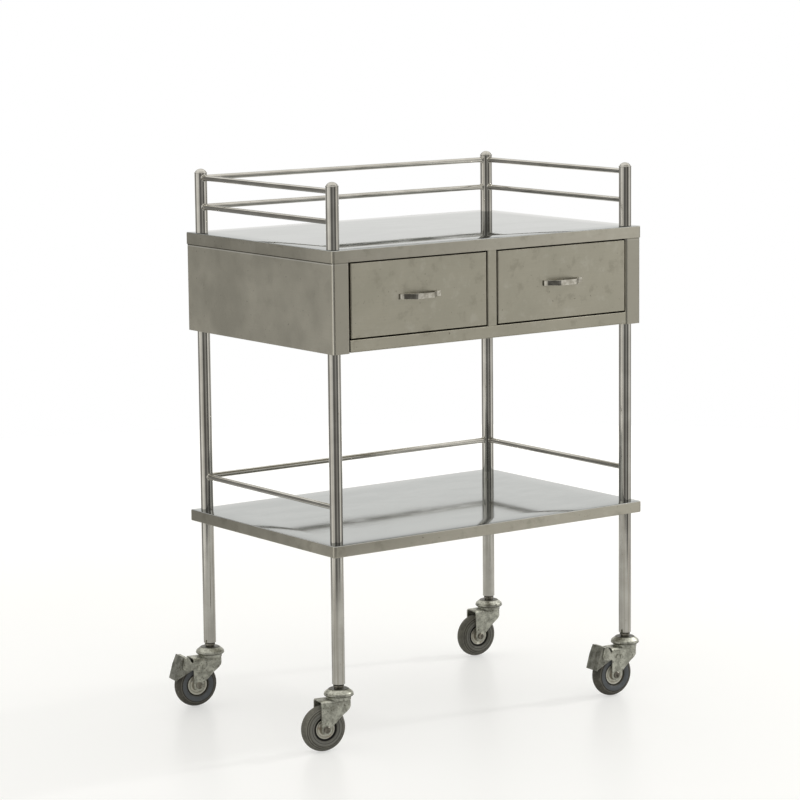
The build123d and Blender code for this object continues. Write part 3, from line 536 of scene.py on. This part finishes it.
def rail(start, end, height):
    """Rod between two uprights, and at each end a weld bead: a loop whose point at angle t lies where the
    rod's side meets the tube, sqrt(R^2 - (r cos t)^2) out from the tube's axis."""
    a, b = (np.array((*LEG_AT[c], height)) for c in (start, end))
    run = (b - a) / np.linalg.norm(b - a)
    side, up = np.cross(run, (0, 0, 1.0)), np.array((0, 0, 1.0))
    hidden = TUBE_R - 1.4 * MM
    skins = [piped([a + run * hidden, a + run * 0.06, b - run * 0.06, b - run * hidden], RAIL_R, 28)]
    t = np.arange(40) / 40 * 2 * math.pi
    reach = np.sqrt(TUBE_R ** 2 - (RAIL_R * np.cos(t)) ** 2)
    lumps = BEAD_R * (1 + 0.16 * np.sin(5 * t + a[0] * 90) + 0.1 * np.cos(9 * t + a[1] * 70))
    for foot, way in ((a, run), (b, -run)):
        loop = foot + reach[:, None] * way + RAIL_R * (np.cos(t)[:, None] * side + np.sin(t)[:, None] * up)
        skins.append(piped(loop, lumps, 10, closed=True))
    return skins


def rails():
    spans = {"left": ("front_left", "rear_left"), "right": ("front_right", "rear_right"),
             "rear": ("rear_left", "rear_right")}
    lo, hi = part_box("upper_rails_left")
    upper = (lo.z + RAIL_R, hi.z - RAIL_R)
    for side, span in spans.items():
        skins = sum((rail(*span, z) for z in upper), [])
        finished(f"guard_rails_{side}", skins, "root", RAIL, [f"upper_rails_{side}"])
    low = middle("lower_rails")[2]
    skins = sum((rail(*span, low) for span in spans.values()), [])
    finished("guard_rails_low", skins, "root", RAIL, ["lower_rails"])


# ---------------------------------------------------------------- tray and shelf
FRONT_CORNER_R, REAR_CORNER_R = 5 * MM, 1.8 * MM


def rounded_outline(lo, hi, inset, front_r, rear_r, steps=8):
    """Rectangle with rounded corners, moved inwards by the inset; each corner keeps its centre."""
    quarter = np.linspace(0, math.pi / 2, steps)
    points = []
    for i, (sx, sy) in enumerate(((1, -1), (1, 1), (-1, 1), (-1, -1))):
        r = front_r if sy < 0 else rear_r
        centre = np.array([hi[0] - r if sx > 0 else lo[0] + r, hi[1] - r if sy > 0 else lo[1] + r])
        turn = quarter + (i - 1) * math.pi / 2
        r_now = max(r - inset, 0.02 * r)
        beyond = max(inset - r, 0.0)
        arc = centre + r_now * np.stack([np.cos(turn), np.sin(turn)], -1)
        points.append(arc - beyond * np.array([sx, sy]))
    return np.concatenate(points)


def folded_pan(node, profile, name, material):
    """Sheet folded down all round: a profile of (inset, depth below the top) carried round the outline."""
    lo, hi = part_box(node)
    rings = []
    for inset, depth in profile:
        plan = rounded_outline(lo, hi, inset, FRONT_CORNER_R, REAR_CORNER_R)
        rings.append(np.concatenate([plan, np.full((len(plan), 1), hi.z - depth)], 1))
    grid = np.array(rings)
    count = grid.shape[1]
    last = (len(rings) - 1) * count
    caps = [list(range(count)), list(range(last, last + count))[::-1]]
    finished(name, woven(grid, round_cols=True, caps=caps), "root", material, [node])


def tray_and_shelf():
    """Profiles run from 40 mm inside the edge, over the fold, down the lip and back up its inner side."""
    thick, inside = 1.2 * MM, 40 * MM
    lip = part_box("top_tray")[1].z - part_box("top_tray")[0].z
    tray = softened([(inside, 0), (0, 0), (0, lip), (thick, lip), (thick, thick), (inside, thick)],
                    [0, 1.7 * MM, 0.4 * MM, 0.4 * MM, 0.5 * MM, 0], 7)
    folded_pan("top_tray", tray, "tray", TRAY_TOP)
    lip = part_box("lower_shelf")[1].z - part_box("lower_shelf")[0].z
    hem = 7 * MM
    shelf = softened([(inside, 0), (0, 0), (0, lip), (hem, lip), (hem, lip - thick), (thick, lip - thick),
                      (thick, thick), (inside, thick)],
                     [0, 1.7 * MM, 1.6 * MM, 0.4 * MM, 0.4 * MM, 0.4 * MM, 0.5 * MM, 0], 7)
    folded_pan("lower_shelf", shelf, "shelf", SHELF_TOP)


# ---------------------------------------------------------------- drawer handles
def handles():
    """Bow of strip: a rounded, slightly crowned section carried along its bent plan."""
    for side in SIDES:
        lo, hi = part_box(f"drawer_handle_{side}")
        thick, back, reach = 2.5 * MM, hi.y, lo.y
        centre, mid = (lo.x + hi.x) / 2, (lo.z + hi.z) / 2
        half, flat, foot = (hi.x - lo.x) / 2, 18.5 * MM, (hi.x - lo.x) / 2 - 9 * MM
        rear, grip = back - thick / 2, reach + thick / 2
        bow = [(-half, rear), (-foot, rear), (-flat, grip), (flat, grip), (foot, rear), (half, rear)]
        plan = softened(bow, [0, 4 * MM, 4.5 * MM, 4.5 * MM, 4 * MM, 0], 9)
        a = np.arange(28) / 28 * 2 * math.pi             # round the strip's section
        high = (hi.z - lo.z) / 2
        flatness = 0.28                                  # power of the rounded rectangle: 0 is square
        across = thick / 2 * np.sign(np.cos(a)) * np.abs(np.cos(a)) ** flatness
        along = high * np.sign(np.sin(a)) * np.abs(np.sin(a)) ** flatness
        run = np.gradient(plan, axis=0)
        run /= np.linalg.norm(run, axis=1)[:, None]
        out = np.stack([-run[:, 1], run[:, 0]], -1)
        grid = np.empty((len(plan), len(a), 3))
        grid[..., :2] = plan[:, None] + out[:, None] * across[None, :, None]
        grid[..., 0] += centre
        grid[..., 2] = mid + along
        last = (len(plan) - 1) * len(a)
        ends = [list(range(len(a))), list(range(last, last + len(a)))[::-1]]
        finished(f"bow_handle_{side}", woven(grid, round_cols=True, caps=ends), f"drawer_{side}",
                 STRIP, [f"drawer_handle_{side}"], sharp=40)


# ---------------------------------------------------------------- casters
AXLE = (30.0 * MM, 40.0 * MM)                      # behind the swivel axis, and height


def cups():
    """Saucers over the ball rings: a bulged side, a soft brow and a flat top, turned about the swivel."""
    lo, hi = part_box("caster_cups")
    foot, top = lo.z, hi.z
    wide = 25.8 * MM
    outside = softened([(wide - 1.9 * MM, foot), (wide, foot + 1.7 * MM), (wide - 1.2 * MM, foot + 6.2 * MM),
                        (18.2 * MM, top - 1.2 * MM), (16.6 * MM, top), (8 * MM, top)],
                       [0, 1.4 * MM, 3.5 * MM, 3 * MM, 1.2 * MM, 0], 7)
    inside = [(8 * MM, top - 2 * MM), (16 * MM, top - 2 * MM), (wide - 3.2 * MM, foot + 4 * MM),
              (wide - 2.9 * MM, foot)]
    section = np.concatenate([outside, inside])
    ring = turned(section, 72)
    skin = woven(ring.points.reshape(len(section), 72, 3), round_rows=True, round_cols=True)
    skins = [skin.moved(Spot((*LEG_AT[c], 0))) for c in CORNERS]
    piece = finished("swivel_cups", skins, "root", PRESSED_ZINC, ["caster_cups"])
    # The distance kept here lets the finish paint shade near the foot, under the brim, and near the top, under the
    # upright's end.
    heights = points_of(piece)[:, 2]
    mark(piece, "from_edge", np.minimum(heights - foot, (top - heights) * 1.6 + 0.6 * MM))


def around_axle(corner, section, turns=112):
    """A closed section of (radius, distance across) turned about the axle, placed on its caster."""
    skin = turned_across(section, AXLE, turns)
    ring = woven(skin.points.reshape(len(section), turns, 3), round_rows=True, round_cols=True)
    return ring.moved(caster_spot(corner))


def tread_edge(r, deep):
    """Half width of the tyre at a radius: a circle of 12.5 mm about 27.5 mm, cut by shallow round grooves."""
    bulge = np.sqrt(np.maximum((12.5 * MM) ** 2 - (r - 27.5 * MM) ** 2, 0))
    grooves = sum(np.exp(-((r - at) / (0.45 * MM)) ** 2) for at in deep)
    return bulge - 0.7 * MM * grooves


def wheels():
    for corner in CORNERS:
        braked = corner in BRAKED
        grooves = (31.2 * MM,) if braked else TREAD_LINES
        crown = 40 * MM - 3 * MM * np.linspace(1, 0, 14)[1:] ** 2
        r = np.concatenate([np.linspace(21.5 * MM, 37 * MM, 64), crown])
        half = np.stack([r, tread_edge(r, grooves)], -1)
        bead = np.array([(18.55, 7.6), (19.6, 7.8), (20.2, 9.4), (20.9, 10.4)]) * MM
        half = np.concatenate([bead, half])
        section = np.concatenate([half, (half * (1, -1))[-2::-1]])
        piece = finished(f"tyre_ring_{corner}", around_axle(corner, section), f"wheel_{corner}",
                         DARK_RUBBER if braked else RUBBER, [f"tyre_{corner}"], sharp=50)
        mark_radius(piece, corner)
        core = softened([(6.1, 13.0), (9.2, 13.0), (9.9, 8.2), (13.4, 6.9), (15.6, 9.2), (18.4, 8.9)],
                        [0, 0.8, 1.2, 2, 1.2, 0], 5) * MM
        section = np.concatenate([core, (core * (1, -1))[::-1]])
        piece = finished(f"centre_{corner}", around_axle(corner, section), f"wheel_{corner}",
                         BRAKED_CENTRE if braked else CENTRE, [f"wheel_core_{corner}"], sharp=40)
        mark_radius(piece, corner)


def mark_radius(piece, corner):
    """Writes each point's distance from the axle, for the finish."""
    joint = JOINTS[f"wheel_{corner}_spin"]
    points = points_of(piece) - joint["pos_m"]
    axis = np.array(joint["axis"])
    mark(piece, "radius", np.linalg.norm(points - (points @ axis)[:, None] * axis, axis=1))


# ---------------------------------------------------------------- studio
CAMERA_AT = np.array([-3.264, -4.4255, 1.371])     # from the middle of the four uprights, on the floor
CAMERA_HEADING, CAMERA_TILT, CAMERA_ROLL = -36.113, -8.5275, -0.5933
CAMERA_LENS, CAMERA_SENSOR = 139.99, 36.0
FLOOR_R, FLOOR_DROP = 3.2, 0.0003
FLOOR_SHOWN, FLOOR_GLOW = 0.505, 0.22               # its own light, for the lens and for the cart
KEY_POWER, KEY_DISTANCE = 62.0, 5.0


def set_camera():
    heading, tilt, roll = (math.radians(v) for v in (CAMERA_HEADING, CAMERA_TILT, CAMERA_ROLL))
    ahead = np.array([-math.sin(heading) * math.cos(tilt), math.cos(heading) * math.cos(tilt),
                      math.sin(tilt)])
    right = np.array([math.cos(heading), math.sin(heading), 0.0])
    up = np.cross(right, ahead)
    right, up = (math.cos(roll) * right + math.sin(roll) * up, math.cos(roll) * up - math.sin(roll) * right)
    lens = bpy.data.cameras.new("studio_camera")
    lens.lens, lens.sensor_width = CAMERA_LENS, CAMERA_SENSOR
    camera = bpy.data.objects.new("studio_camera", lens)
    bpy.context.scene.collection.objects.link(camera)
    turn = Matrix([[*right], [*up], [*-ahead]]).transposed().to_4x4()
    camera.matrix_world = Matrix.Translation(FRAME_MIDDLE + CAMERA_AT) @ turn
    bpy.context.scene.camera = camera


def set_floor():
    """A white round floor, lit from inside a little so that it goes into the white behind. Away from the
    cart only the lens sees it: the cart's metal sees the darker room there."""
    skin = turned([(0, 0), (1.2, 0), (FLOOR_R, 0)], 96)
    mesh = bpy.data.meshes.new("studio_floor")
    mesh.from_pydata((skin.points - (0, 0, FLOOR_DROP)).tolist(), [], skin.quads.tolist())
    floor = bpy.data.objects.new("studio_floor", mesh)
    bpy.context.scene.collection.objects.link(floor)
    b = Bench("studio_floor", Roughness=0.35, Specular_IOR_Level=0.25)
    b.shader.inputs["Base Color"].default_value = (0.42, 0.42, 0.41, 1)
    b.shader.inputs["Emission Color"].default_value = (1, 1, 0.985, 1)
    seen = b.node("ShaderNodeLightPath", {}, {}, "Is Camera Ray")
    out = b.node("ShaderNodeVectorMath", {"operation": "LENGTH"}, {0: b.spot}, "Value")
    glow = seen * (FLOOR_SHOWN - FLOOR_GLOW) + FLOOR_GLOW + out.between(1.0, 3.0) * 0.12
    b.tree.links.new(glow.socket, b.shader.inputs["Emission Strength"])
    clear = b.node("ShaderNodeBsdfTransparent", {}, {})
    far = out.between(0.75, 1.25) * (1.0 - seen)
    shown = b.node("ShaderNodeMixShader", {}, {0: far, 1: Wire(b, b.shader.outputs[0]), 2: clear})
    b.tree.links.new(shown.socket, b.tree.nodes["Material Output"].inputs["Surface"])
    mesh.materials.append(b.material)


# How bright the room is round the cart, seen level: the heading in degrees from straight behind the cart,
# positive to the right, and the brightness there. Two upright soft boxes stand left and right of the lens.
ROOM = (
    (-180, 0.16), (-172, 0.14), (-160, 0.16), (-154, 0.30), (-147, 0.70), (-120, 0.86), (-105, 1.0),
    (-94, 0.98), (-86, 0.55), (-78, 0.30), (-64, 0.25), (-48, 0.34), (-36, 0.60), (-20, 1.05),
    (20, 1.05), (34, 0.60), (46, 0.40), (78, 0.38), (85, 0.60), (91, 0.98), (106, 0.95), (113, 0.45),
    (120, 0.16), (138, 0.11), (145, 0.24), (152, 0.38), (160, 0.36), (172, 0.22), (180, 0.16),
)
ROOM_COLOUR = (1.0, 0.985, 0.955)
OVERHEAD = 1.1
KEY_FROM = (0.80, -0.178, 0.573)                   # where the key light stands, as a direction from the cart


def room_brightness(bench, forward):
    """The room's brightness by heading, with a dark gap all round between the walls and an even ceiling."""
    turned_room = bench.node("ShaderNodeVectorRotate", {"rotation_type": "Z_AXIS"}, {
        "Vector": bench.spot, "Angle": -forward})
    heading = bench.node("ShaderNodeTexGradient", {"gradient_type": "RADIAL"}, {"Vector": turned_room}, "Fac")
    stops = [((180 - angle) / 360, (value,) * 3) for angle, value in reversed(ROOM)]
    ring = bench.node("ShaderNodeValToRGB", {"stops": stops}, {"Fac": heading})
    height = bench.node("ShaderNodeSeparateXYZ", {}, {"Vector": bench.spot}, "Z")
    level = bench.node("ShaderNodeMix", {"data_type": "RGBA"}, {
        "Factor": height.between(0.36, 0.56), "A": ring, "B": (OVERHEAD,) * 3 + (1.0,)}, 2)
    gap = height.between(0.25, 0.32) * (1.0 - height.between(0.42, 0.52))
    level = bench.over(gap * 0.8, level, (0.12, 0.12, 0.115))
    return bench.node("ShaderNodeMix", {"data_type": "RGBA", "blend_type": "MULTIPLY"}, {
        "Factor": 1.0, "A": level, "B": (*ROOM_COLOUR, 1.0)}, 2)


class Room(Bench):
    """Where the surroundings are mixed."""

    def __init__(self, world):
        world.use_nodes = True
        self.tree = world.node_tree
        self.spot = self.node("ShaderNodeTexCoord", {}, {}, "Generated")


def set_studio_light():
    """White behind the cart for the lens, the room as described for everything else, and one key light."""
    world = bpy.data.worlds.new("studio")
    bpy.context.scene.world = world
    room = Room(world)
    seen = room.node("ShaderNodeLightPath", {}, {}, "Is Camera Ray")
    forward = math.radians(90 + CAMERA_HEADING)
    around = room_brightness(room, forward)
    shown = room.node("ShaderNodeMix", {"data_type": "RGBA"}, {
        "Factor": seen, "A": around, "B": (1, 1, 1, 1)}, 2)
    room.tree.links.new(shown.socket, room.tree.nodes["Background"].inputs["Color"])
    key = bpy.data.lights.new("key_light", "AREA")
    key.shape, key.size, key.energy = "DISK", 0.42, KEY_POWER
    lamp = bpy.data.objects.new("key_light", key)
    bpy.context.scene.collection.objects.link(lamp)
    lamp.location = FRAME_MIDDLE + KEY_DISTANCE * np.array(KEY_FROM)
    lamp.rotation_euler = Vector(KEY_FROM).to_track_quat("Z", "Y").to_euler()
    bpy.context.scene.view_settings.view_transform = "Standard"


dress_frame()
for corner in CORNERS:
    tube(corner)
caps()
rails()
tray_and_shelf()
handles()
cups()
wheels()
set_camera()
set_floor()
set_studio_light()
